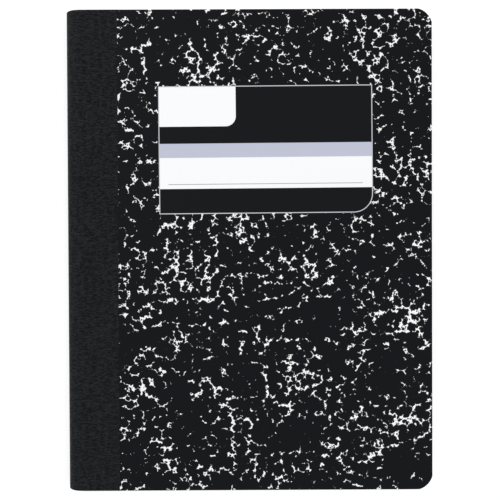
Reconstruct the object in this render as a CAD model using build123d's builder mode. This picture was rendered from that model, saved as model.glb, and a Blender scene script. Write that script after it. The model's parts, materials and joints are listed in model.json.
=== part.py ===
from build123d import *
import os

# A composition notebook, lying closed on its back cover.
# X runs from the spine to the fore-edge, Y from tail to head, Z up.
# The origin is under the middle of the book, on the surface it lies on.
# Everything is in millimetres.

# ---- Driving dimensions ----

BOOK_HEIGHT = 247.65  # tail to head
BOOK_WIDTH = 188.0  # back of the spine to the fore-edge

FOLDED_SHEETS = 50  # sheets folded once and nested, so a hundred leaves
LEAF_PITCH = 0.086  # room that each leaf takes in the closed block

BOARD_THICKNESS = 0.65
ENDPAPER_THICKNESS = 0.12
TAPE_THICKNESS = 0.20
TAPE_BED = 0.05  # how deep the tape is pressed into each board

SPINE_DEPTH = 10.0  # back of the spine to the line where a cover folds
TAPE_REACH = 26.5  # back of the spine to the tape's edge on each cover
BOARD_SETBACK = 0.6  # fold line to the edge of a board
FOLD_SLIT = 0.4  # slit between the rigid stretches of the tape at each fold

CORNER_LEG = 6.8  # what the corner cut takes off each edge at the fore-edge
CORNER_RADIUS = 10.0  # the cutter's radius, larger than the leg

THREAD_DIAMETER = 0.5
STITCH_PITCH = 6.35
STITCH_END_MARGIN = 3.0  # least distance from the last stitch to head or tail
THREAD_CLEARANCE = 0.05
SPINE_GLUE_GAP = 0.05  # between the folds' backs and the tape
HINGE_LIFT = 0.15  # how far a cover's pivot lies outside the tape's face

# ---- Places worked out from them ----

half_height = BOOK_HEIGHT / 2
fore_edge = BOOK_WIDTH / 2
spine_back = -BOOK_WIDTH / 2
fold_line = spine_back + SPINE_DEPTH
tape_edge = spine_back + TAPE_REACH
cover_start = fold_line + BOARD_SETBACK

# Heights above and below the plane through the middle fold.
half_block = FOLDED_SHEETS * LEAF_PITCH
endpaper_face = half_block
board_face = endpaper_face + ENDPAPER_THICKNESS
cover_face = board_face + BOARD_THICKNESS
tape_bed = cover_face - TAPE_BED
tape_face = tape_bed + TAPE_THICKNESS

mid_height = tape_face
mid_plane = Plane.XY.offset(mid_height)

# The folds' backs end just inside the tape.
folds_back = spine_back + TAPE_THICKNESS + SPINE_GLUE_GAP
inner_fold = folds_back + half_block
thread_radius = THREAD_DIAMETER / 2
stitches = int((BOOK_HEIGHT - 2 * STITCH_END_MARGIN) // STITCH_PITCH) + 1
seam_length = (stitches - 1) * STITCH_PITCH


def trimmed_outline(start):
    """A sheet's outline from x = start to the fore-edge, its two outer corners cut round."""
    with BuildSketch() as outline:
        with BuildLine():
            side = fore_edge - CORNER_LEG
            end = half_height - CORNER_LEG
            Polyline((side, half_height), (start, half_height), (start, -half_height), (side, -half_height))
            RadiusArc((side, -half_height), (fore_edge, -end), -CORNER_RADIUS)
            Line((fore_edge, -end), (fore_edge, end))
            RadiusArc((fore_edge, end), (side, half_height), -CORNER_RADIUS)
        make_face()
    return outline.sketch


def seam(radius, inner_run_length):
    """The line of stitches: a run inside the middle fold, a run behind the folds, and the links."""
    outer_x = folds_back + thread_radius
    inner_x = inner_fold + thread_radius
    with BuildPart() as stitching:
        with BuildSketch(Plane.XZ):
            with Locations((inner_x, mid_height)):
                Circle(radius)
        extrude(amount=inner_run_length / 2, both=True)
        with BuildSketch(Plane.XZ):
            with Locations((outer_x, mid_height)):
                Circle(radius)
        extrude(amount=seam_length / 2 + radius, both=True)
        with BuildSketch(Plane.YZ.offset(outer_x)):
            with Locations((0, mid_height)):
                with GridLocations(STITCH_PITCH, 0, stitches, 1):
                    Circle(radius)
        extrude(amount=inner_x - outer_x)
    return stitching.part


# ---- The sewn block ----

# All the nested sheets as one solid. Its back is the rounded bundle of folds,
# and it is cut flush with the covers at head, tail and fore-edge.
with BuildPart() as text_block:
    with BuildSketch(Plane.XZ):
        with BuildLine():
            Line((fold_line, mid_height + half_block), (fore_edge, mid_height + half_block))
            Line((fore_edge, mid_height + half_block), (fore_edge, mid_height - half_block))
            Line((fore_edge, mid_height - half_block), (fold_line, mid_height - half_block))
            EllipticalCenterArc(
                (fold_line, mid_height), fold_line - folds_back, half_block, start_angle=90, arc_size=180
            )
        make_face()
    extrude(amount=half_height, both=True)
    with BuildSketch(mid_plane.offset(-half_block)):
        add(trimmed_outline(spine_back))
    extrude(amount=2 * half_block, mode=Mode.INTERSECT)
    add(seam(thread_radius + THREAD_CLEARANCE, BOOK_HEIGHT), mode=Mode.SUBTRACT)

text_block.part.label = "text_block"

# One thread holds all the folds together along the spine.
with BuildPart() as sewing_thread:
    add(seam(thread_radius, seam_length + THREAD_DIAMETER))

sewing_thread.part.label = "sewing_thread"

# The cloth tape round the spine, from fold line to fold line.
with BuildPart() as spine_tape:
    with BuildSketch(Plane.XZ):
        tape_end = fold_line - FOLD_SLIT / 2
        outer_depth = tape_end - spine_back
        inner_depth = outer_depth - TAPE_THICKNESS
        inner_face = tape_face - TAPE_THICKNESS
        with BuildLine():
            EllipticalCenterArc((tape_end, mid_height), outer_depth, tape_face, start_angle=90, arc_size=180)
            Line((tape_end, mid_height - tape_face), (tape_end, mid_height - inner_face))
            EllipticalCenterArc((tape_end, mid_height), inner_depth, inner_face, start_angle=90, arc_size=180)
            Line((tape_end, mid_height + inner_face), (tape_end, mid_height + tape_face))
        make_face()
    extrude(amount=half_height, both=True)

spine_tape.part.label = "spine_tape"

# ---- The front cover ----

with BuildPart() as front_endpaper:
    with BuildSketch(mid_plane.offset(endpaper_face)):
        add(trimmed_outline(cover_start))
    extrude(amount=ENDPAPER_THICKNESS)

front_endpaper.part.label = "front_endpaper"

# The board carries the marbled face, and is pressed down a little where the tape lies on it.
with BuildPart() as front_board:
    with BuildSketch(mid_plane.offset(board_face)):
        add(trimmed_outline(cover_start))
    extrude(amount=BOARD_THICKNESS)
    with BuildSketch(mid_plane.offset(cover_face)):
        with Locations((cover_start, 0)):
            Rectangle(tape_edge - cover_start, BOOK_HEIGHT, align=(Align.MIN, Align.CENTER))
    extrude(amount=-TAPE_BED, mode=Mode.SUBTRACT)

front_board.part.label = "front_board"

# The stretch of the tape that is glued on the cover.
with BuildPart() as front_tape:
    with BuildSketch(mid_plane.offset(tape_bed)):
        tape_start = fold_line + FOLD_SLIT / 2
        with Locations((tape_start, 0)):
            Rectangle(tape_edge - tape_start, BOOK_HEIGHT, align=(Align.MIN, Align.CENTER))
    extrude(amount=TAPE_THICKNESS)

front_tape.part.label = "front_tape"

# ---- The back cover, the same pieces the other way up ----

with BuildPart() as back_endpaper:
    mirror(front_endpaper.part, about=mid_plane)

back_endpaper.part.label = "back_endpaper"

with BuildPart() as back_board:
    mirror(front_board.part, about=mid_plane)

back_board.part.label = "back_board"

with BuildPart() as back_tape:
    mirror(front_tape.part, about=mid_plane)

back_tape.part.label = "back_tape"

# ---- Write each piece ----

os.makedirs("parts", exist_ok=True)

export_step(text_block.part, "parts/text_block.step")
export_step(sewing_thread.part, "parts/sewing_thread.step")
export_step(spine_tape.part, "parts/spine_tape.step")
export_step(front_endpaper.part, "parts/front_endpaper.step")
export_step(front_board.part, "parts/front_board.step")
export_step(front_tape.part, "parts/front_tape.step")
export_step(back_endpaper.part, "parts/back_endpaper.step")
export_step(back_board.part, "parts/back_board.step")
export_step(back_tape.part, "parts/back_tape.step")

print("stitches", stitches)
print("front pivot x, z", fold_line, mid_height + tape_face + HINGE_LIFT)
print("back pivot x, z", fold_line, mid_height - tape_face - HINGE_LIFT)
print("cover faces z", mid_height - cover_face, mid_height + cover_face)
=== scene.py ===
# %% [markdown]
# # A composition notebook
#
# A composition notebook is one of the simplest sewn books. Fifty sheets are folded
# once, nested in each other and sewn through the fold. Two marbled boards are pasted
# on, a strip of black embossed cloth is wrapped round the spine, and the whole book
# is cut to size in one stroke, which is why every layer ends flush.
#
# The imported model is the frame: it gives the size and the place of every piece, and
# the bodies that turn at the two cover hinges. What is made here is what the eye
# needs: single leaves, cloth that bends without a slit, and the printed patterns.

# %% Load the frame
import bpy
import json
import math
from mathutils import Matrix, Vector


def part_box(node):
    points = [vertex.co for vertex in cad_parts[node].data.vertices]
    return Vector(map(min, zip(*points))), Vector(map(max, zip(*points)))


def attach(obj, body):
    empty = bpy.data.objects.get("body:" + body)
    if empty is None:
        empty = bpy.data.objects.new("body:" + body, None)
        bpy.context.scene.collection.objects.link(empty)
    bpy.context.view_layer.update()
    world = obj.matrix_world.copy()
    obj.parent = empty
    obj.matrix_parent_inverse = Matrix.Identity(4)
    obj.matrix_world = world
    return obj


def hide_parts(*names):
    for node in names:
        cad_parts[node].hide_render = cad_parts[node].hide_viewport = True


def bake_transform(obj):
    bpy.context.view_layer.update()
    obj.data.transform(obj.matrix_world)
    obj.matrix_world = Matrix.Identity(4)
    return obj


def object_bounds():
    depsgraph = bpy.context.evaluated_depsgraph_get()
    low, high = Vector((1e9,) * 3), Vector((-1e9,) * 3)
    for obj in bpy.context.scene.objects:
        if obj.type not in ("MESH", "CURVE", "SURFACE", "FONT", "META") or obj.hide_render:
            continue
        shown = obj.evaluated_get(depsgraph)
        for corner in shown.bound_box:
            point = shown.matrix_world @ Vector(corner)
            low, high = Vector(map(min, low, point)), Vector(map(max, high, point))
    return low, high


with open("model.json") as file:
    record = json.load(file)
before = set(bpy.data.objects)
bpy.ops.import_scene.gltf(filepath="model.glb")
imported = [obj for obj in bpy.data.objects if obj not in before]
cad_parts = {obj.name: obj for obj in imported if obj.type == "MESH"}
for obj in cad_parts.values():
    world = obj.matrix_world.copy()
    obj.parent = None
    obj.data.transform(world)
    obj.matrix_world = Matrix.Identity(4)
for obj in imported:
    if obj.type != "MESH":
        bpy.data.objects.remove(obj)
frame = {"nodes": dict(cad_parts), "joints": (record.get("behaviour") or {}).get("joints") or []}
cad_low, cad_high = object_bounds()
print("closed book, mm", [round(side * 1000, 2) for side in cad_high - cad_low])

# %% [markdown]
# ## The sizes that every piece shares
#
# Nothing is measured twice. The heights of the layers, the line where a cover folds
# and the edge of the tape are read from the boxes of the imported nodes. Only what the
# frame can't say, such as how round a corner is cut, is written down here.

# %% Sizes from the frame
MM = 0.001

block_low, block_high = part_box("text_block")
board_low, board_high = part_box("front_board")
lining_low, lining_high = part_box("front_endpaper")
tape_low, tape_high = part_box("front_tape")

fore_edge = cad_high.x
spine_back = cad_low.x
half_height = cad_high.y
mid_height = (cad_low.z + cad_high.z) / 2
half_block = block_high.z - mid_height
fold_line = frame["joints"][0]["pos_m"][0]
tape_edge = tape_high.x
board_start = board_low.x
tape_thickness = tape_high.z - tape_low.z
lining_thickness = lining_high.z - lining_low.z

CORNER_LEG = 6.8 * MM
CORNER_RADIUS = 10.0 * MM
SPINE_CORNER_RUN = 5.0 * MM
SPINE_CORNER_DROP = 1.2 * MM
SHEETS = 50

print("fold line and tape edge, mm", round(fold_line / MM, 2), round(tape_edge / MM, 2))
print("block thickness, mm", round(2 * half_block / MM, 2))

# %% [markdown]
# ## How far each layer reaches towards head and tail
#
# The book is trimmed after it is bound, so one outline cuts all the layers. It is
# straight almost everywhere. At the fore-edge a round punch takes the corners off,
# and its radius is larger than the corner, so the arc meets the edges at a slight
# angle. At the spine the cutter only crushes the corner a little.
#
# One function gives the half height of that outline at any x, and every mesh uses it.

# %% The trimmed outline
corner_half_chord = CORNER_LEG / math.sqrt(2)
centre_to_chord = math.sqrt(CORNER_RADIUS**2 - corner_half_chord**2)
corner_inset = CORNER_LEG / 2 + centre_to_chord / math.sqrt(2)


def outline_height(x):
    """Half the book's height at this distance from the middle."""
    from_spine = x - spine_back
    if from_spine < SPINE_CORNER_RUN:
        into_corner = 1 - max(from_spine, 0) / SPINE_CORNER_RUN
        return half_height - SPINE_CORNER_DROP * (1 - math.sqrt(1 - into_corner**2))
    if x <= fore_edge - CORNER_LEG:
        return half_height
    centre_x = fore_edge - corner_inset
    centre_y = half_height - corner_inset
    return centre_y + math.sqrt(max(CORNER_RADIUS**2 - (x - centre_x) ** 2, 0))


print("corner leaves, mm", round((half_height - outline_height(fore_edge)) / MM, 2))

# %% [markdown]
# ## Camera
#
# The book is seen from straight above, from 60 cm. It is turned a quarter of a degree.
# The camera stands a little towards the head of the book, so the head looks a touch
# larger, and a hair towards the spine, so a little of the spine's round shows.

# %% Camera
VIEW_WIDTH = 257.3 * MM  # what the picture's width covers at the cover's height
VIEW_DISTANCE = 600 * MM
VIEW_TILT = math.radians(1.02)
VIEW_LEAN = math.radians(0.2)
VIEW_CENTRE = (0.26 * MM, 0.26 * MM)
VIEW_ROLL = math.radians(-0.25)

camera = bpy.data.objects.new("camera", bpy.data.cameras.new("camera"))
bpy.context.scene.collection.objects.link(camera)
bpy.context.scene.camera = camera
camera.data.sensor_width = 36
camera.data.lens = camera.data.sensor_width * VIEW_DISTANCE / VIEW_WIDTH
camera.data.clip_start = 0.01
aim = Vector((*VIEW_CENTRE, cad_high.z))
stand = Vector((-math.sin(VIEW_LEAN), math.sin(VIEW_TILT), math.cos(VIEW_TILT)))
camera.location = aim + stand * VIEW_DISTANCE
camera.rotation_euler = (-VIEW_TILT, -VIEW_LEAN, VIEW_ROLL)
print("lens, mm", round(camera.data.lens, 1))

# %% [markdown]
# ## Helpers for node trees
#
# A material in Blender is a tree of nodes, and so is a Geometry Nodes modifier. Adding
# nodes and links one by one takes many lines, so a few small functions do it: node adds
# one node and fills its inputs, calc adds one sum, and blend_colours lays one colour
# over another.

# %% Node helpers
def put(tree, socket, value):
    """Link a socket's value, or set a plain one."""
    if isinstance(value, bpy.types.NodeSocket):
        tree.links.new(value, socket)
    elif value is not None:
        socket.default_value = value


def node(tree, kind, settings=None, **inputs):
    """Add a node. Settings are its attributes, and inputs are named with _ for a space."""
    made = tree.nodes.new(kind)
    for name, value in (settings or {}).items():
        setattr(made, name, value)
    for name, value in inputs.items():
        put(tree, made.inputs[name.replace("_", " ")], value)
    return made


def calc(tree, operation, *values):
    """One Math node's result."""
    made = node(tree, "ShaderNodeMath", {"operation": operation})
    for socket, value in zip(made.inputs, values):
        put(tree, socket, value)
    return made.outputs[0]


def blend_colours(tree, factor, under, over):
    """Over laid on under where factor is 1."""
    made = node(tree, "ShaderNodeMix", {"data_type": "RGBA"})
    put(tree, made.inputs["Factor"], factor)
    put(tree, made.inputs["A"], under)
    put(tree, made.inputs["B"], over)
    return made.outputs["Result"]


def new_material(name):
    """A material with only a shader and an output, and its tree and shader."""
    material = bpy.data.materials.new(name)
    material.use_nodes = True
    tree = material.node_tree
    tree.nodes.clear()
    shader = tree.nodes.new("ShaderNodeBsdfPrincipled")
    output = tree.nodes.new("ShaderNodeOutputMaterial")
    tree.links.new(shader.outputs[0], output.inputs["Surface"])
    return material, tree, shader


print("helpers ready")

# %% [markdown]
# ## Floor and light
#
# A white sweep with a broad soft light gives even light with hardly any shadow, and
# it lets black cloth stay black. The floor is a pale diffuse surface, so it keeps the
# book's shadow. Where it is seen, by the camera itself or in something glossy or clear,
# some light of its own is added. That brings it up to white without lighting the book
# more. The sky does the same.

# %% Floor
FLOOR_SIZE = 6.0
FLOOR_COLOUR = (0.56, 0.56, 0.56, 1)
FLOOR_GLOW = 0.58


def seen_directly(tree):
    """1 for rays from the camera, also those that come by way of something glossy or clear."""
    rays = node(tree, "ShaderNodeLightPath")
    seen = calc(tree, "MAXIMUM", rays.outputs["Is Camera Ray"], rays.outputs["Is Glossy Ray"])
    return calc(tree, "MAXIMUM", seen, rays.outputs["Is Transmission Ray"])


floor_mesh = bpy.data.meshes.new("floor")
corners = [(-1, -1), (1, -1), (1, 1), (-1, 1)]
floor_mesh.from_pydata([(x * FLOOR_SIZE, y * FLOOR_SIZE, 0) for x, y in corners], [], [(0, 1, 2, 3)])
floor = bpy.data.objects.new("floor", floor_mesh)
bpy.context.scene.collection.objects.link(floor)

floor_material = bpy.data.materials.new("white_floor")
floor_material.use_nodes = True
tree = floor_material.node_tree
tree.nodes.clear()
paper_white = node(tree, "ShaderNodeBsdfDiffuse", Color=FLOOR_COLOUR)
glow = node(tree, "ShaderNodeEmission", Strength=calc(tree, "MULTIPLY", seen_directly(tree), FLOOR_GLOW))
both = node(tree, "ShaderNodeAddShader")
tree.links.new(paper_white.outputs[0], both.inputs[0])
tree.links.new(glow.outputs[0], both.inputs[1])
output = node(tree, "ShaderNodeOutputMaterial")
tree.links.new(both.outputs[0], output.inputs["Surface"])
floor_mesh.materials.append(floor_material)
print("floor, m", 2 * FLOOR_SIZE)

# %% Sky
SKY_LIGHT = 0.76

world = bpy.data.worlds.new("studio")
bpy.context.scene.world = world
world.use_nodes = True
tree = world.node_tree
tree.nodes.clear()
sky = node(tree, "ShaderNodeBackground", Color=(1, 1, 1, 1))
put(tree, sky.inputs["Strength"], calc(tree, "MULTIPLY_ADD", seen_directly(tree), 1 - SKY_LIGHT, SKY_LIGHT))
output = node(tree, "ShaderNodeOutputWorld")
tree.links.new(sky.outputs[0], output.inputs["Surface"])
print("sky strength", SKY_LIGHT)

# %% Lamps
LAMP_SIZE = 1.6


def softbox(name, place, power):
    """A square lamp that points at the book."""
    lamp = bpy.data.lights.new(name, "AREA")
    lamp.size = LAMP_SIZE
    lamp.energy = power
    holder = bpy.data.objects.new(name, lamp)
    bpy.context.scene.collection.objects.link(holder)
    holder.location = place
    holder.rotation_euler = (-Vector(place)).to_track_quat("-Z", "Y").to_euler()
    print(name, power, "W")


softbox("key_light", (-1.3, 0.9, 1.5), 12.5)
softbox("fill_light", (1.5, -0.7, 1.4), 6.5)
bpy.context.scene.view_settings.view_transform = "Standard"

# %% [markdown]
# ## Marbled print
#
# Marbled paper is made by scattering drops of ink that spread until they nearly
# touch. The white is only what the drops leave between them: three-cornered specks
# with hollow sides, and thin veins where two drops almost met.
#
# Voronoi noise gives exactly that. The distance to the nearest cell point makes a
# round drop round each point, and white is left where that distance is larger than
# the drop's radius. Three sizes of drops are laid over each other, a cell's random
# colour varies the radius, and slow noise makes crowded and open places.

# %% Marble pattern
# each size of drop: its cell, then in cells its radius, how much that varies, and how much crowding adds
DROPS = [
    (4.2 * MM, 0.60, 0.15, 0.280),
    (2.3 * MM, 0.48, 0.18, 0.140),
    (1.15 * MM, 0.30, 0.18, 0.105),
]
CLUSTER_SIZE = 26 * MM
WOBBLE_SIZE = 2.2 * MM
WOBBLE = 0.3 * MM
DROP_EDGE = 0.02  # softness of a drop's edge, in cells


def shaken(tree, position):
    """The position pushed about a little, so that drops aren't perfectly round."""
    wobble = node(tree, "ShaderNodeTexNoise", {"noise_dimensions": "2D"}, Vector=position,
                  Scale=1 / WOBBLE_SIZE, Detail=0)
    offset = node(tree, "ShaderNodeVectorMath", {"operation": "SUBTRACT"})
    put(tree, offset.inputs[0], wobble.outputs["Color"])
    offset.inputs[1].default_value = (0.5, 0.5, 0.5)
    pushed = node(tree, "ShaderNodeVectorMath", {"operation": "MULTIPLY_ADD"})
    put(tree, pushed.inputs[0], offset.outputs[0])
    pushed.inputs[1].default_value = (2 * WOBBLE, 2 * WOBBLE, 0)
    put(tree, pushed.inputs[2], position)
    return pushed.outputs[0]


def marble(tree, position):
    """1 where the drops leave the paper white."""
    place = shaken(tree, position)
    crowd = node(tree, "ShaderNodeTexNoise", {"noise_dimensions": "2D"}, Vector=position,
                 Scale=1 / CLUSTER_SIZE, Detail=1)
    crowd = calc(tree, "MULTIPLY_ADD", crowd.outputs["Fac"], 2, -1)
    white = 1
    for cell, radius, variation, crowding in DROPS:
        drops = node(tree, "ShaderNodeTexVoronoi", {"voronoi_dimensions": "2D"}, Vector=place, Scale=1 / cell)
        chance = node(tree, "ShaderNodeSeparateColor", Color=drops.outputs["Color"]).outputs[0]
        edge = calc(tree, "MULTIPLY_ADD", chance, 2 * variation, radius - variation)
        edge = calc(tree, "MULTIPLY_ADD", crowd, -crowding, edge)
        left = calc(tree, "SUBTRACT", drops.outputs["Distance"], edge)
        left = node(tree, "ShaderNodeMapRange", Value=left, From_Min=-DROP_EDGE, From_Max=DROP_EDGE)
        white = calc(tree, "MULTIPLY", left.outputs[0], white)
    return white


print("drop cells, mm", [round(drop[0] / MM, 2) for drop in DROPS])

# %% [markdown]
# ## Printed label
#
# The label is part of the print, and it stands a third of a degree askew on the cover.
# It is built from plain fields: a thin outline round a black ground, both with one round
# corner, a white tab at the top left, a pale band, and a white field with one writing
# line. Each field is the same test: a box whose lower right corner may be round. The
# places for words stay bare.

# %% Label sizes
LABEL_CENTRE = (8.5 * MM, 51.9 * MM)
LABEL_SIZE = (109.9 * MM, 65.6 * MM)
LABEL_TURN = math.radians(0.33)
LABEL_CORNER = 9.8 * MM
OUTLINE_WIDTH = 0.42 * MM
PRINT_EDGE = 0.12 * MM
# places on the label, down and right from its top left corner
BAND_TOP, BAND_BOTTOM = 29.45 * MM, 36.7 * MM
FIELD_BOTTOM = 52.65 * MM
TAB_SIZE = (39.75 * MM, 20.7 * MM)
TAB_CORNER = 5.2 * MM
LINE_START, LINE_END = 4.8 * MM, 104.8 * MM
LINE_DROP, LINE_WIDTH = 50.2 * MM, 0.35 * MM
print("label, mm", [round(side / MM, 1) for side in LABEL_SIZE])

# %% Label and print colours
INK_BLACK = (0.0036, 0.0041, 0.0058, 1)
LABEL_BLACK = (0.0050, 0.0054, 0.0072, 1)
PRINT_WHITE = (0.955, 0.962, 0.975, 1)
BAND_COLOUR = (0.53, 0.555, 0.67, 1)
OUTLINE_COLOUR = (0.62, 0.63, 0.68, 1)
LINE_COLOUR = (0.34, 0.34, 0.40, 1)
print("print white", PRINT_WHITE[:3])


# %% Label fields
def soft(tree, distance):
    """From 0 to 1 across the print's soft edge."""
    wide = calc(tree, "MULTIPLY_ADD", distance, 1 / PRINT_EDGE, 0.5)
    return node(tree, "ShaderNodeClamp", Value=wide).outputs[0]


def inside(tree, x, y, left, top, right, bottom, corner=PRINT_EDGE):
    """1 inside a box on the label, whose lower right corner is round. y counts down."""
    across = calc(tree, "MAXIMUM", calc(tree, "SUBTRACT", x, right - corner), 0)
    down = calc(tree, "MAXIMUM", calc(tree, "SUBTRACT", y, bottom - corner), 0)
    squares = calc(tree, "ADD", calc(tree, "POWER", across, 2), calc(tree, "POWER", down, 2))
    past_left = soft(tree, calc(tree, "SUBTRACT", x, left))
    past_top = soft(tree, calc(tree, "SUBTRACT", y, top))
    in_corner = soft(tree, calc(tree, "SUBTRACT", corner, calc(tree, "SQRT", squares)))
    return calc(tree, "MULTIPLY", calc(tree, "MULTIPLY", past_left, past_top), in_corner)


def label(tree, position, ground):
    """The print's colour with the label laid over the marble."""
    place = node(tree, "ShaderNodeMapping", {"vector_type": "TEXTURE"}, Vector=position,
                 Location=(*LABEL_CENTRE, 0), Rotation=(0, 0, LABEL_TURN))
    parts = node(tree, "ShaderNodeSeparateXYZ", Vector=place.outputs[0])
    wide, tall = LABEL_SIZE
    x = calc(tree, "ADD", parts.outputs["X"], wide / 2)
    y = calc(tree, "SUBTRACT", tall / 2, parts.outputs["Y"])
    rim = OUTLINE_WIDTH
    fields = [
        (OUTLINE_COLOUR, (0, 0, wide, tall, LABEL_CORNER)),
        (LABEL_BLACK, (rim, rim, wide - rim, tall - rim, LABEL_CORNER - rim)),
        (BAND_COLOUR, (rim, BAND_TOP, wide - rim, BAND_BOTTOM)),
        (PRINT_WHITE, (rim, BAND_BOTTOM, wide - rim, FIELD_BOTTOM)),
        (PRINT_WHITE, (rim, rim, *TAB_SIZE, TAB_CORNER)),
        (LINE_COLOUR, (LINE_START, LINE_DROP, LINE_END, LINE_DROP + LINE_WIDTH)),
    ]
    for colour, box in fields:
        ground = blend_colours(tree, inside(tree, x, y, *box), ground, colour)
    return ground


print("print edge, mm", round(PRINT_EDGE / MM, 2))

# %% [markdown]
# ## Cover board finish
#
# The board is grey pressboard with a coated, printed face. The print has a low sheen,
# and under it the board's fibres make the surface slightly uneven, so
# the gloss breaks up instead of shining like plastic. The cut edge is bare board, with
# its pressed layers showing as fine streaks along the edge.

# %% Printed face
PRINT_FIBRES = 900  # noise cells to a metre
PRINT_ROUGHNESS = (0.36, 0.48)
PRINT_GLOSS = 0.08
PRINT_RELIEF = 0.02 * MM
BACK_SHIFT = (0.41, 0.27, 0)


def printed_face(name, shift, with_label):
    """The coated marbled print. Shift moves the pattern, so that the covers differ."""
    material, tree, shader = new_material(name)
    place = node(tree, "ShaderNodeTexCoord").outputs["Object"]
    moved = node(tree, "ShaderNodeMapping", Vector=place, Location=shift).outputs[0]
    colour = blend_colours(tree, marble(tree, moved), INK_BLACK, PRINT_WHITE)
    if with_label:
        colour = label(tree, place, colour)
    put(tree, shader.inputs["Base Color"], colour)
    fibres = node(tree, "ShaderNodeTexNoise", Vector=place, Scale=PRINT_FIBRES, Detail=3, Roughness=0.6)
    low, high = PRINT_ROUGHNESS
    rough = node(tree, "ShaderNodeMapRange", Value=fibres.outputs["Fac"], To_Min=low, To_Max=high)
    put(tree, shader.inputs["Roughness"], rough.outputs[0])
    bump = node(tree, "ShaderNodeBump", Height=fibres.outputs["Fac"], Strength=0.25, Distance=PRINT_RELIEF)
    put(tree, shader.inputs["Normal"], bump.outputs[0])
    shader.inputs["Specular IOR Level"].default_value = PRINT_GLOSS
    return material


front_print = printed_face("front_print", (0, 0, 0), True)
back_print = printed_face("back_print", BACK_SHIFT, False)
print("prints", front_print.name, back_print.name)

# %% Bare board
LAYER_CELLS = (300, 300, 9000)  # noise cells to a metre, many across the thickness
LAYER_RELIEF = 0.03 * MM
BOARD_DARK = (0.26, 0.25, 0.235, 1)
BOARD_PALE = (0.46, 0.45, 0.43, 1)


def pressboard():
    """The cut edge and the pasted side of the board."""
    material, tree, shader = new_material("pressboard")
    place = node(tree, "ShaderNodeTexCoord").outputs["Object"]
    layers = node(tree, "ShaderNodeMapping", Vector=place, Scale=LAYER_CELLS)
    streaks = node(tree, "ShaderNodeTexNoise", Vector=layers.outputs[0], Scale=1, Detail=3)
    tone = node(tree, "ShaderNodeMapRange", Value=streaks.outputs["Fac"], From_Min=0.3, From_Max=0.7)
    colour = blend_colours(tree, tone.outputs[0], BOARD_DARK, BOARD_PALE)
    put(tree, shader.inputs["Base Color"], colour)
    bump = node(tree, "ShaderNodeBump", Height=streaks.outputs["Fac"], Strength=0.5, Distance=LAYER_RELIEF)
    put(tree, shader.inputs["Normal"], bump.outputs[0])
    shader.inputs["Roughness"].default_value = 0.85
    shader.inputs["Specular IOR Level"].default_value = 0.2
    return material


board_core = pressboard()
print("board", board_core.name)

# %% [markdown]
# ## Meshes along the spine
#
# Every layer of this book is a strip with one cross-section from tail to head. So one
# function makes them all. It takes the outer and the inner face as two paths of (x, z)
# points and stretches each point to the trimmed outline. Each corner also gets a UV in
# metres, distance along the path and distance along the spine, so that a grain can
# follow the cloth round the bend.

# %% Paths
def steps(start, end, count):
    """Evenly spaced values from start to end, both included."""
    return [start + (end - start) * i / count for i in range(count + 1)]


def inwards(path, thickness):
    """The path moved to its right by a thickness."""
    moved = []
    for i, (x, z) in enumerate(path):
        before, after = path[max(i - 1, 0)], path[min(i + 1, len(path) - 1)]
        run = Vector((after[0] - before[0], after[1] - before[1])).normalized()
        moved.append((x + run.y * thickness, z - run.x * thickness))
    return moved


print("five steps from 0 to 1", steps(0, 1, 4))


# %% Strips
def make_object(name, mesh, materials=()):
    """An object at the origin that shows this mesh."""
    for material in materials:
        mesh.materials.append(material)
    made = bpy.data.objects.new(name, mesh)
    bpy.context.scene.collection.objects.link(made)
    return made


def unroll(mesh, path, rows, vertices):
    """UVs in metres: along the path from its start, and along the spine."""
    travelled = [0.0]
    for (x0, z0), (x1, z1) in zip(path, path[1:]):
        travelled.append(travelled[-1] + math.hypot(x1 - x0, z1 - z0))
    layer = mesh.uv_layers.new(name="along_the_cloth")
    for loop in mesh.loops:
        row = (loop.vertex_index // rows) % len(path)
        layer.data[loop.index].uv = (travelled[row], vertices[loop.vertex_index][1])


def strip(name, outer, inner, columns, materials):
    """A closed strip between two paths that run with the outer face on their left."""
    count, rows = len(outer), columns + 1
    vertices = []
    for path in (outer, inner):
        for x, z in path:
            reach = outline_height(min(max(x, spine_back), fore_edge))
            vertices += [(x, y, z) for y in steps(-reach, reach, columns)]

    def at(side, row, column):
        return (side * count + row) * rows + column

    faces = []
    for row in range(count - 1):
        for column in range(columns):
            square = [(row, column), (row + 1, column), (row + 1, column + 1), (row, column + 1)]
            faces.append([at(0, *corner) for corner in square])
            faces.append([at(1, *corner) for corner in reversed(square)])
        for end, order in ((0, 1), (columns, -1)):
            rim = [at(0, row, end), at(1, row, end), at(1, row + 1, end), at(0, row + 1, end)]
            faces.append(rim[::order])
    for end, order in ((0, -1), (count - 1, 1)):
        for column in range(columns):
            rim = [at(0, end, column), at(1, end, column), at(1, end, column + 1), at(0, end, column + 1)]
            faces.append(rim[::order])
    mesh = bpy.data.meshes.new(name)
    mesh.from_pydata(vertices, [], faces)
    unroll(mesh, outer, rows, vertices)
    return make_object(name, mesh, materials)


print("strip maker ready")

# %% Finishing a mesh
MAX_SMOOTH_ANGLE = math.radians(35)


def settle(piece):
    """Turn a piece's modifiers into its plain mesh."""
    evaluated = piece.evaluated_get(bpy.context.evaluated_depsgraph_get())
    finished = bpy.data.meshes.new_from_object(evaluated)
    piece.modifiers.clear()
    piece.data = finished
    return piece


def soften(piece, width):
    """Round the edges a little and shade the faces smooth across gentle bends."""
    bevel = piece.modifiers.new("edges", "BEVEL")
    bevel.width = width
    bevel.segments = 2
    bevel.limit_method = "ANGLE"
    bevel.angle_limit = MAX_SMOOTH_ANGLE
    bevel.harden_normals = True
    piece.data.shade_smooth()
    return settle(piece)


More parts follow.
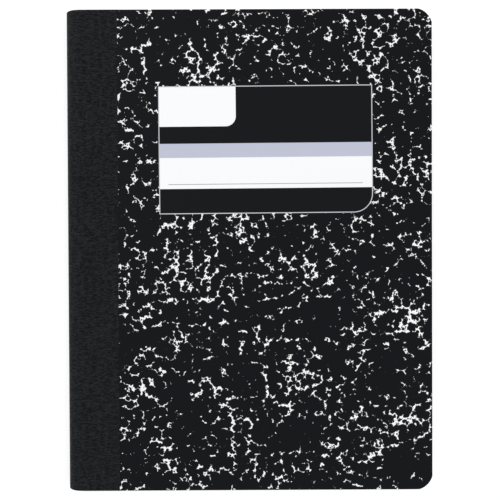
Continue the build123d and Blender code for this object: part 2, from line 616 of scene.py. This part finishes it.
def turned_over(name, piece):
    """A copy for the back of the book, mirrored in the plane through the middle fold."""
    mesh = piece.data.copy()
    mesh.name = name
    for vertex in mesh.vertices:
        vertex.co.z = 2 * mid_height - vertex.co.z
    mesh.flip_normals()
    return make_object(name, mesh)


def report(piece):
    """Print how many triangles a piece has."""
    count = sum(len(face.vertices) - 2 for face in piece.data.polygons)
    print(piece.name, "has", count, "triangles")


print("bend that stays sharp, degrees", round(math.degrees(MAX_SMOOTH_ANGLE)))

# %% [markdown]
# ## Cover boards
#
# Each board is a flat plate with the trimmed outline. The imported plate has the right
# size but knife-sharp edges, so the same outline is made again with its edges rounded
# by a few hundredths of a millimetre, which catches a fine line of light. The face is
# pressed down a little where the tape lies on it. The outward face carries the print,
# and the rest is bare board.

# %% Boards
BOARD_EDGE = 0.06 * MM
BED_SLOPE = 0.3 * MM
BOARD_COLUMNS = 4
CORNER_STEPS = 12


def across_cover(start):
    """Distances from the spine along a cover, closer together round the cut corner."""
    return [start] + steps(fore_edge - CORNER_LEG, fore_edge, CORNER_STEPS)


face = [(board_start, tape_low.z), (tape_edge - BED_SLOPE, tape_low.z), (tape_edge, board_high.z)]
face += [(x, board_high.z) for x in across_cover(tape_edge)[1:]]
pasted_side = [(x, board_low.z) for x, z in face]
front_board = strip("front_board_marbled", face, pasted_side, BOARD_COLUMNS, [front_print, board_core])
for polygon in front_board.data.polygons:
    polygon.material_index = 0 if polygon.normal.z > 0.5 else 1
soften(front_board, BOARD_EDGE)
back_board = turned_over("back_board_marbled", front_board)
back_board.data.materials[0] = back_print

for piece, side in ((front_board, "front"), (back_board, "back")):
    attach(piece, side + "_cover")
    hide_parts(side + "_board")
    report(piece)

# %% [markdown]
# ## Paper
#
# The leaves are ruled on both sides. The rules are lines at a fixed pitch down the
# page and one margin line, all worked out from Object coordinates, so every leaf has
# them at the same place. On the trimmed edges only a broken tick of ink shows where a
# rule ends, between darker fine lines that are partly uneven tone of the paper and
# partly painted shade in the gaps between the leaves.

# %% Ruling
RULE_PITCH = 8.73 * MM
RULE_WIDTH = 0.28 * MM
FIRST_RULE = 28.0 * MM  # from the head
LAST_RULE = 9.0 * MM  # from the tail
MARGIN = 31.75 * MM  # from the fold
RULE_BLUE = (0.33, 0.47, 0.72, 1)
MARGIN_RED = (0.75, 0.20, 0.24, 1)


def rules(tree, x, y):
    """1 on the blue rules, and 1 on the red margin line, of both sides of a leaf."""
    depth = calc(tree, "SUBTRACT", half_height - FIRST_RULE, y)
    from_rule = calc(tree, "PINGPONG", depth, RULE_PITCH / 2)
    blue = calc(tree, "LESS_THAN", from_rule, RULE_WIDTH / 2)
    blue = calc(tree, "MULTIPLY", blue, calc(tree, "GREATER_THAN", depth, -RULE_WIDTH))
    blue = calc(tree, "MULTIPLY", blue, calc(tree, "GREATER_THAN", y, LAST_RULE - half_height))
    from_margin = calc(tree, "ABSOLUTE", calc(tree, "SUBTRACT", x, spine_back + MARGIN))
    red = calc(tree, "LESS_THAN", from_margin, RULE_WIDTH / 2)
    return blue, red


print("rules", math.floor((2 * half_height - FIRST_RULE - LAST_RULE) / RULE_PITCH) + 1)

# %% Paper
PAPER_FIBRES = 1400  # noise cells to a metre
PAPER_CLOUDS = 260
PAPER_SHADE = 0.93
PAPER_RELIEF = 0.02 * MM
RULED_TONE = (0.86, 0.86, 0.84, 1)
LINING_TONE = (0.88, 0.88, 0.865, 1)


def paper(name, tone, ruled):
    """Uncoated paper, plain or ruled."""
    material, tree, shader = new_material(name)
    place = node(tree, "ShaderNodeTexCoord").outputs["Object"]
    parts = node(tree, "ShaderNodeSeparateXYZ", Vector=place)
    fibres = node(tree, "ShaderNodeTexNoise", Vector=place, Scale=PAPER_FIBRES, Detail=2).outputs["Fac"]
    cloud = node(tree, "ShaderNodeTexNoise", Vector=place, Scale=PAPER_CLOUDS, Detail=3).outputs["Fac"]
    mottle = calc(tree, "MULTIPLY", calc(tree, "ADD", fibres, cloud), 0.5)
    darker = tuple(channel * PAPER_SHADE for channel in tone[:3]) + (1,)
    colour = blend_colours(tree, mottle, darker, tone)
    if ruled:
        blue, red = rules(tree, parts.outputs["X"], parts.outputs["Y"])
        colour = blend_colours(tree, blue, colour, RULE_BLUE)
        colour = blend_colours(tree, red, colour, MARGIN_RED)
    put(tree, shader.inputs["Base Color"], colour)
    bump = node(tree, "ShaderNodeBump", Height=mottle, Strength=0.3, Distance=PAPER_RELIEF)
    put(tree, shader.inputs["Normal"], bump.outputs[0])
    shader.inputs["Roughness"].default_value = 0.9
    shader.inputs["Specular IOR Level"].default_value = 0.2
    return material


ruled_paper = paper("ruled_paper", RULED_TONE, True)
lining_paper = paper("lining_paper", LINING_TONE, False)
print("papers", ruled_paper.name, lining_paper.name)

# %% Cut edges
CUT_CELLS = (18, 18, 3200)  # noise cells to a metre, many across the thickness
CUT_RELIEF = 0.05 * MM
# the darker colour is partly uneven tone of the paper and partly painted shade in the gaps between leaves
PAINTED_GAP_SHADE = (0.62, 0.615, 0.59, 1)
LEAF_EDGE = (0.90, 0.90, 0.885, 1)
TICK_STRENGTH = 0.45


def cut_edges():
    """The trimmed edges of the leaves: darker fine lines, partly uneven tone and partly painted shade in the
    gaps between leaves, and a broken tick where each rule ends.
    """
    material, tree, shader = new_material("cut_paper")
    place = node(tree, "ShaderNodeTexCoord").outputs["Object"]
    parts = node(tree, "ShaderNodeSeparateXYZ", Vector=place)
    lengthwise = node(tree, "ShaderNodeMapping", Vector=place, Scale=CUT_CELLS)
    layers = node(tree, "ShaderNodeTexNoise", Vector=lengthwise.outputs[0], Scale=1, Detail=4, Roughness=0.7)
    leaf_or_gap_shade = node(tree, "ShaderNodeMapRange", Value=layers.outputs["Fac"], From_Min=0.30, From_Max=0.52)
    # partly random tone, partly painted shade: dark bands across the thickness stand for the shaded gaps
    # between leaves
    colour = blend_colours(tree, leaf_or_gap_shade.outputs[0], PAINTED_GAP_SHADE, LEAF_EDGE)
    blue, red = rules(tree, parts.outputs["X"], parts.outputs["Y"])
    ink = calc(tree, "MULTIPLY", layers.outputs["Fac"], TICK_STRENGTH)
    colour = blend_colours(tree, calc(tree, "MULTIPLY", blue, ink), colour, RULE_BLUE)
    colour = blend_colours(tree, calc(tree, "MULTIPLY", red, ink), colour, MARGIN_RED)
    put(tree, shader.inputs["Base Color"], colour)
    bump = node(tree, "ShaderNodeBump", Height=layers.outputs["Fac"], Strength=0.6, Distance=CUT_RELIEF)
    put(tree, shader.inputs["Normal"], bump.outputs[0])
    shader.inputs["Roughness"].default_value = 0.95
    shader.inputs["Specular IOR Level"].default_value = 0.1
    return material


cut_paper = cut_edges()
print("cut edges", cut_paper.name)

# %% [markdown]
# ## Leaves
#
# Fifty sheets are nested like the layers of an onion cut in half: each goes from the
# fore-edge flat to the spine, round the fold, and back. All follow one rule, so
# Geometry Nodes make them. A subdivided box is instanced once for each sheet, each
# instance is numbered, and a formula moves its points: how far along the sheet, and
# how far from the middle plane. The sheets are thinner than the room they
# take, so there is air between them, and each fore-edge ends a hair differently.

# %% Inputs of the leaf tree
SHEET_FILL = 0.82  # paper's share of the room that a sheet takes
RAGGED_EDGE = 0.10 * MM
SHEET_POINTS = 65
FOLD_END = 0.5  # share of a leaf's points that go round the fold
CORNER_START = 0.7  # and from here on they go through the cut corner
BULGE_LENGTH = 3.0 * MM

thread_low, thread_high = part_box("sewing_thread")
leaf_sizes = {
    "Sheet room": half_block / SHEETS,
    "Middle height": mid_height,
    "Fold line": fold_line,
    "Fold depth": fold_line - block_low.x - lining_thickness,
    "Fore-edge": fore_edge,
    "Half height": half_height,
    "Corner leg": CORNER_LEG,
    "Corner radius": CORNER_RADIUS,
    "Corner inset": corner_inset,
    "Spine": spine_back,
    "Spine corner run": SPINE_CORNER_RUN,
    "Spine corner drop": SPINE_CORNER_DROP,
    "Ragged edge": RAGGED_EDGE,
    "Thread radius": (thread_high.z - thread_low.z) / 2,
}
leaf_tree = bpy.data.node_groups.new("nested_sheets", "GeometryNodeTree")
slots = leaf_tree.interface
sheet_count = slots.new_socket("Sheets", in_out="INPUT", socket_type="NodeSocketInt")
sockets = {}
for name in leaf_sizes:
    sockets[name] = slots.new_socket(name, in_out="INPUT", socket_type="NodeSocketFloat")
page_socket = slots.new_socket("Page", in_out="INPUT", socket_type="NodeSocketMaterial")
cut_socket = slots.new_socket("Cut edge", in_out="INPUT", socket_type="NodeSocketMaterial")
slots.new_socket("Geometry", in_out="OUTPUT", socket_type="NodeSocketGeometry")

t = leaf_tree
given = node(t, "NodeGroupInput").outputs


def ranged(value, start, end, low, high):
    """value's place between start and end, as a value from low to high."""
    made = node(t, "ShaderNodeMapRange", Value=value, From_Min=start, From_Max=end, To_Min=low, To_Max=high)
    return made.outputs[0]


print("leaf tree's sizes", len(leaf_sizes))

# %% A numbered box for each sheet
BOOLEAN_FACE = {"data_type": "BOOLEAN", "domain": "FACE"}
NUMBER_INSTANCE = {"data_type": "FLOAT", "domain": "INSTANCE"}

line = node(t, "GeometryNodeMeshLine", Count=given["Sheets"], Offset=(0, 0, 0))
box = node(t, "GeometryNodeMeshCube", Size=(1, 1, 1), Vertices_X=SHEET_POINTS, Vertices_Y=2, Vertices_Z=2)
facing = node(t, "ShaderNodeSeparateXYZ", Vector=node(t, "GeometryNodeInputNormal").outputs[0]).outputs["Z"]
page = calc(t, "GREATER_THAN", calc(t, "ABSOLUTE", facing), 0.5)
marked = node(t, "GeometryNodeStoreNamedAttribute", BOOLEAN_FACE,
              Geometry=box.outputs["Mesh"], Name="page", Value=page)
copies = node(t, "GeometryNodeInstanceOnPoints",
              Points=line.outputs["Mesh"], Instance=marked.outputs["Geometry"])
index = node(t, "GeometryNodeInputIndex").outputs[0]
number = node(t, "GeometryNodeStoreNamedAttribute", NUMBER_INSTANCE,
              Geometry=copies.outputs["Instances"], Name="sheet", Value=index)
loose = node(t, "GeometryNodeRealizeInstances", Geometry=number.outputs["Geometry"])
sheet = node(t, "GeometryNodeInputNamedAttribute", {"data_type": "FLOAT"}, Name="sheet").outputs[0]
cube = node(t, "ShaderNodeSeparateXYZ", Vector=node(t, "GeometryNodeInputPosition").outputs[0]).outputs
print("numbered boxes", len(t.nodes), "nodes")

# %% Along the sheet and out from the middle plane
# along is 0 at the fold and 1 at the fore-edge, and leaf says which half of the sheet
along = calc(t, "MULTIPLY", calc(t, "ABSOLUTE", cube["X"]), 2)
leaf = calc(t, "SIGN", cube["X"])

# layer is the distance from the middle plane, and it adds to the fold's depth
layer = calc(t, "MULTIPLY_ADD", cube["Z"], SHEET_FILL, calc(t, "ADD", sheet, 0.5))
layer = calc(t, "MULTIPLY", layer, given["Sheet room"])
half = calc(t, "MULTIPLY", given["Sheets"], given["Sheet room"])
fold_depth = calc(t, "ADD", calc(t, "SUBTRACT", given["Fold depth"], half), layer)
turn = ranged(along, 0, FOLD_END, 0, math.pi / 2)
corner_start = calc(t, "SUBTRACT", given["Fore-edge"], given["Corner leg"])
flat = ranged(along, FOLD_END, CORNER_START, 0, calc(t, "SUBTRACT", corner_start, given["Fold line"]))
corner = ranged(along, CORNER_START, 1, 0, given["Corner leg"])
x = calc(t, "SUBTRACT", given["Fold line"], calc(t, "MULTIPLY", fold_depth, calc(t, "COSINE", turn)))
x = calc(t, "ADD", x, calc(t, "ADD", flat, corner))
print("sheets laid out", len(t.nodes), "nodes")

# %% Room for the thread
# the leaves part a little round the thread in the middle fold
inner_fold = calc(t, "SUBTRACT", given["Fold line"], calc(t, "SUBTRACT", given["Fold depth"], half))
from_thread = calc(t, "DIVIDE", calc(t, "SUBTRACT", x, inner_fold), BULGE_LENGTH)
parted = calc(t, "EXPONENT", calc(t, "MULTIPLY", calc(t, "POWER", from_thread, 2), -1))
parted = calc(t, "MULTIPLY", parted, calc(t, "SUBTRACT", 1, calc(t, "DIVIDE", layer, half)))
rise = calc(t, "MULTIPLY_ADD", parted, given["Thread radius"], layer)
z = calc(t, "MULTIPLY", calc(t, "MULTIPLY", rise, calc(t, "SINE", turn)), leaf)
z = calc(t, "ADD", z, given["Middle height"])
print("room for the thread", len(t.nodes), "nodes")

# %% The trimmed outline, as nodes
centre = calc(t, "SUBTRACT", given["Fore-edge"], given["Corner inset"])
run = calc(t, "SUBTRACT", x, centre)
room = calc(t, "SUBTRACT", calc(t, "POWER", given["Corner radius"], 2), calc(t, "POWER", run, 2))
arc = calc(t, "ADD", calc(t, "SQRT", room), calc(t, "SUBTRACT", given["Half height"], given["Corner inset"]))
cut = calc(t, "GREATER_THAN", along, CORNER_START)
taken = calc(t, "MULTIPLY", cut, calc(t, "SUBTRACT", arc, given["Half height"]))
reach = calc(t, "ADD", given["Half height"], taken)
from_spine = calc(t, "DIVIDE", calc(t, "SUBTRACT", x, given["Spine"]), given["Spine corner run"])
into_corner = calc(t, "MAXIMUM", calc(t, "SUBTRACT", 1, from_spine), 0)
left = calc(t, "SQRT", calc(t, "SUBTRACT", 1, calc(t, "POWER", into_corner, 2)))
drop = calc(t, "MULTIPLY", calc(t, "SUBTRACT", 1, left), given["Spine corner drop"])
reach = calc(t, "SUBTRACT", reach, drop)
y = calc(t, "MULTIPLY", calc(t, "SIGN", cube["Y"]), reach)
print("outline", len(t.nodes), "nodes")

# %% Ragged fore-edge, and the papers
chance = node(t, "FunctionNodeRandomValue", ID=sheet, Seed=7)
ragged = calc(t, "MULTIPLY", chance.outputs[1], given["Ragged edge"])
x = calc(t, "SUBTRACT", x, calc(t, "MULTIPLY", ragged, ranged(along, 0.5, 1, 0, 1)))
place = node(t, "ShaderNodeCombineXYZ", X=x, Y=y, Z=z)
moved = node(t, "GeometryNodeSetPosition", Geometry=loose.outputs["Geometry"], Position=place.outputs[0])
is_page = node(t, "GeometryNodeInputNamedAttribute", {"data_type": "BOOLEAN"}, Name="page").outputs[0]
edged = node(t, "GeometryNodeSetMaterial", Geometry=moved.outputs["Geometry"], Material=given["Cut edge"])
dressed = node(t, "GeometryNodeSetMaterial", Geometry=edged.outputs["Geometry"], Selection=is_page,
               Material=given["Page"])
result = node(t, "NodeGroupOutput")
t.links.new(dressed.outputs["Geometry"], result.inputs["Geometry"])
print("leaf tree has", len(t.nodes), "nodes")

# %% Leaves
leaves = make_object("leaves", bpy.data.meshes.new("leaves"))
nest = leaves.modifiers.new("nest", "NODES")
nest[sheet_count.identifier] = SHEETS
for name, value in leaf_sizes.items():
    nest[sockets[name].identifier] = value
nest[page_socket.identifier] = ruled_paper
nest[cut_socket.identifier] = cut_paper
nest.node_group = leaf_tree
settle(leaves)
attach(leaves, "block")
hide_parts("text_block")
report(leaves)
print("leaves reach, mm", [round(side / MM, 2) for side in leaves.dimensions])

# %% [markdown]
# ## Round the spine
#
# Two layers go round the spine: the white lining, which is the outermost folded sheet
# and is pasted to both boards, and the black tape over it. Each is made as two halves
# that meet at the middle of the spine, because each half crosses one hinge. Their
# paths start there, follow a quarter of an ellipse to the fold line, and run on flat
# along the cover. Points are packed closely at the fold line, where the strip bends
# when the cover opens, and the tape has a shallow crease there, because no board lies
# under it.

# %% Paths round the spine
ROUND_STEPS = 28
HINGE_STEPS = 16
FLAT_STEPS = 12
CREASE_DEPTH = 0.08 * MM
hinge_reach = board_start - fold_line


def over_spine(depth, rise):
    """A quarter ellipse from the middle of the spine to the fold line."""
    turns = [math.radians(turn) for turn in steps(0, 90, ROUND_STEPS)]
    start = fold_line - hinge_reach
    ease = depth - hinge_reach
    return [(start - ease * math.cos(turn), mid_height + rise * math.sin(turn)) for turn in turns]


def crease(x):
    """How far the tape sinks in the groove beside the board."""
    away = abs(x - fold_line) / hinge_reach
    return CREASE_DEPTH * math.cos(min(away, 1) * math.pi / 2) ** 2


hinge = steps(fold_line - hinge_reach, board_start, HINGE_STEPS)[1:]
tape_path = over_spine(fold_line - spine_back, tape_high.z - mid_height)
tape_path += [(x, tape_high.z - crease(x)) for x in hinge]
tape_path += [(x, tape_high.z) for x in steps(board_start, tape_edge, FLAT_STEPS)[1:]]

# %% [markdown]
# ## Tape
#
# The tape is book cloth with a fine embossed grain: short wrinkles that run across the
# spine, about three quarters of a millimetre apart, over a much finer weave. The grain
# is two stretched noises that cross at a small angle. They lie on the strip's own UV,
# so the grain follows the cloth round the spine. It is relief, and the same map paints
# light and shade into the colour: a painted highlight on the tops of the wrinkles and
# painted shade in the valleys. A weak sheen stands for the fibres that catch light where
# the cloth turns away.

# %% Tape material
GRAIN_LENGTH = 4.0 * MM
GRAIN_PITCH = 0.72 * MM
GRAIN_SLANT = math.radians(6)
WEAVE_PITCH = 0.22 * MM
WEAVE_SHARE = 0.35
GRAIN_RELIEF = 0.05 * MM
# the valley colour is painted shade and the ridge colour a painted highlight on the black cloth
CLOTH_VALLEY_SHADE = (0.0008, 0.0010, 0.0018, 1)
CLOTH_RIDGE_HIGHLIGHT = (0.0180, 0.0190, 0.0222, 1)
CLOTH_SHEEN = {"Weight": 0.17, "Roughness": 0.4, "Tint": (0.84, 1.0, 0.95, 1)}


def book_cloth():
    """Black embossed cloth, whose wrinkles cross each other at a small angle."""
    material, tree, shader = new_material("black_book_cloth")
    uv = node(tree, "ShaderNodeUVMap", {"uv_map": "along_the_cloth"}).outputs[0]

    def wrinkles(slant, detail):
        turned = node(tree, "ShaderNodeMapping", Vector=uv, Rotation=(0, 0, slant)).outputs[0]
        scale = (1 / GRAIN_LENGTH, 1 / GRAIN_PITCH, 1)
        stretched = node(tree, "ShaderNodeMapping", Vector=turned, Scale=scale).outputs[0]
        noise = node(tree, "ShaderNodeTexNoise", {"noise_dimensions": "2D"}, Vector=stretched,
                     Scale=1, Detail=detail, Roughness=0.6)
        return calc(tree, "PINGPONG", noise.outputs["Fac"], 0.5)

    crossed = calc(tree, "MINIMUM", wrinkles(GRAIN_SLANT, 2), wrinkles(-GRAIN_SLANT, 3))
    ridges = node(tree, "ShaderNodeMapRange", Value=crossed, From_Min=0.36, From_Max=0.49).outputs[0]
    weave = node(tree, "ShaderNodeTexNoise", {"noise_dimensions": "2D"}, Vector=uv,
                 Scale=1 / WEAVE_PITCH, Detail=2)
    height = calc(tree, "MULTIPLY_ADD", weave.outputs["Fac"], WEAVE_SHARE, ridges)
    # painted light: the ridge map gives the tops of the wrinkles a painted highlight and the valleys painted
    # shade
    colour = blend_colours(tree, ridges, CLOTH_VALLEY_SHADE, CLOTH_RIDGE_HIGHLIGHT)
    put(tree, shader.inputs["Base Color"], colour)
    rough = node(tree, "ShaderNodeMapRange", Value=ridges, To_Min=0.66, To_Max=0.5)
    put(tree, shader.inputs["Roughness"], rough.outputs[0])
    bump = node(tree, "ShaderNodeBump", Height=height, Strength=0.6, Distance=GRAIN_RELIEF)
    put(tree, shader.inputs["Normal"], bump.outputs[0])
    shader.inputs["Specular IOR Level"].default_value = 0.10
    for quality, value in CLOTH_SHEEN.items():
        shader.inputs["Sheen " + quality].default_value = value
    return material


cloth = book_cloth()
print("cloth material", cloth.name)

# %% Tape
TAPE_COLUMNS = 8
TAPE_EDGE_ROUNDING = 0.04 * MM

front_tape = strip("tape_front", tape_path, inwards(tape_path, tape_thickness), TAPE_COLUMNS, [cloth])
soften(front_tape, TAPE_EDGE_ROUNDING)
back_tape = turned_over("tape_back", front_tape)
report(front_tape)

# %% [markdown]
# ## Lining
#
# The lining is plain paper. It runs under the tape from the middle of the spine, over
# the folds, and then along the inside of the board to the fore-edge, where it ends in
# the same round corner as the board.

# %% Lining
LINING_COLUMNS = 2
LINING_EDGE_ROUNDING = 0.02 * MM

lining_path = over_spine(fold_line - block_low.x, lining_high.z - mid_height)
lining_path += [(x, lining_high.z) for x in hinge]
lining_path += [(x, lining_high.z) for x in across_cover(board_start)[1:]]
lining_inside = inwards(lining_path, lining_thickness)
front_lining = strip("lining_front", lining_path, lining_inside, LINING_COLUMNS, [lining_paper])
soften(front_lining, LINING_EDGE_ROUNDING)
back_lining = turned_over("lining_back", front_lining)
report(front_lining)

# %% [markdown]
# ## Hinges
#
# A cover opens because the tape and the lining bend at the fold line. Here each strip
# keeps the closed shape it was made in: its place is written into its mesh, and the
# imported tape and lining are hidden.

# %% Fix both layers in place, and hide the imported ones
HINGE_HEIGHTS = {"front": tape_high.z, "back": 2 * mid_height - tape_high.z}
tapes = {"front": front_tape, "back": back_tape}
linings = {"front": front_lining, "back": back_lining}
for side, height in HINGE_HEIGHTS.items():
    tape, lining = tapes[side], linings[side]
    for piece in (tape, lining):
        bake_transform(piece)
    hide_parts(side + "_tape", "spine_tape")
    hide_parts(side + "_endpaper")
    print(side, "hinge at z, mm", round(height / MM, 2))

# %% [markdown]
# ## Thread
#
# The thread keeps its imported shape, a line of stitches through the middle fold. It is
# cotton of two plies, which shows as fine slanting ridges, with painted shade in the
# grooves between them.

# %% Thread
PLY_SCALE = 900
PLY_SLANT = (0.6, 0, 0.6)
PLY_RELIEF = 0.05 * MM
# the groove colour is painted shade between the plies, and the top colour is the cotton's own
PLY_GROOVE_SHADE = (0.62, 0.60, 0.55, 1)
PLY_TOP = (0.86, 0.85, 0.80, 1)


def cotton():
    """Twisted cotton, whose plies show as slanting ridges, with painted shade in the grooves."""
    material, tree, shader = new_material("cotton_thread")
    place = node(tree, "ShaderNodeTexCoord").outputs["Object"]
    lay = node(tree, "ShaderNodeMapping", Vector=place, Rotation=PLY_SLANT)
    plies = node(tree, "ShaderNodeTexWave", Vector=lay.outputs[0], Scale=PLY_SCALE, Distortion=1.5)
    # painted shade: the wave darkens the grooves between the plies
    colour = blend_colours(tree, plies.outputs["Fac"], PLY_GROOVE_SHADE, PLY_TOP)
    put(tree, shader.inputs["Base Color"], colour)
    bump = node(tree, "ShaderNodeBump", Height=plies.outputs["Fac"], Strength=0.6, Distance=PLY_RELIEF)
    put(tree, shader.inputs["Normal"], bump.outputs[0])
    shader.inputs["Roughness"].default_value = 0.9
    return material


thread = frame["nodes"]["sewing_thread"]
thread.material_slots[0].link = "OBJECT"
thread.material_slots[0].material = cotton()
print("thread triangles", len(thread.data.polygons))
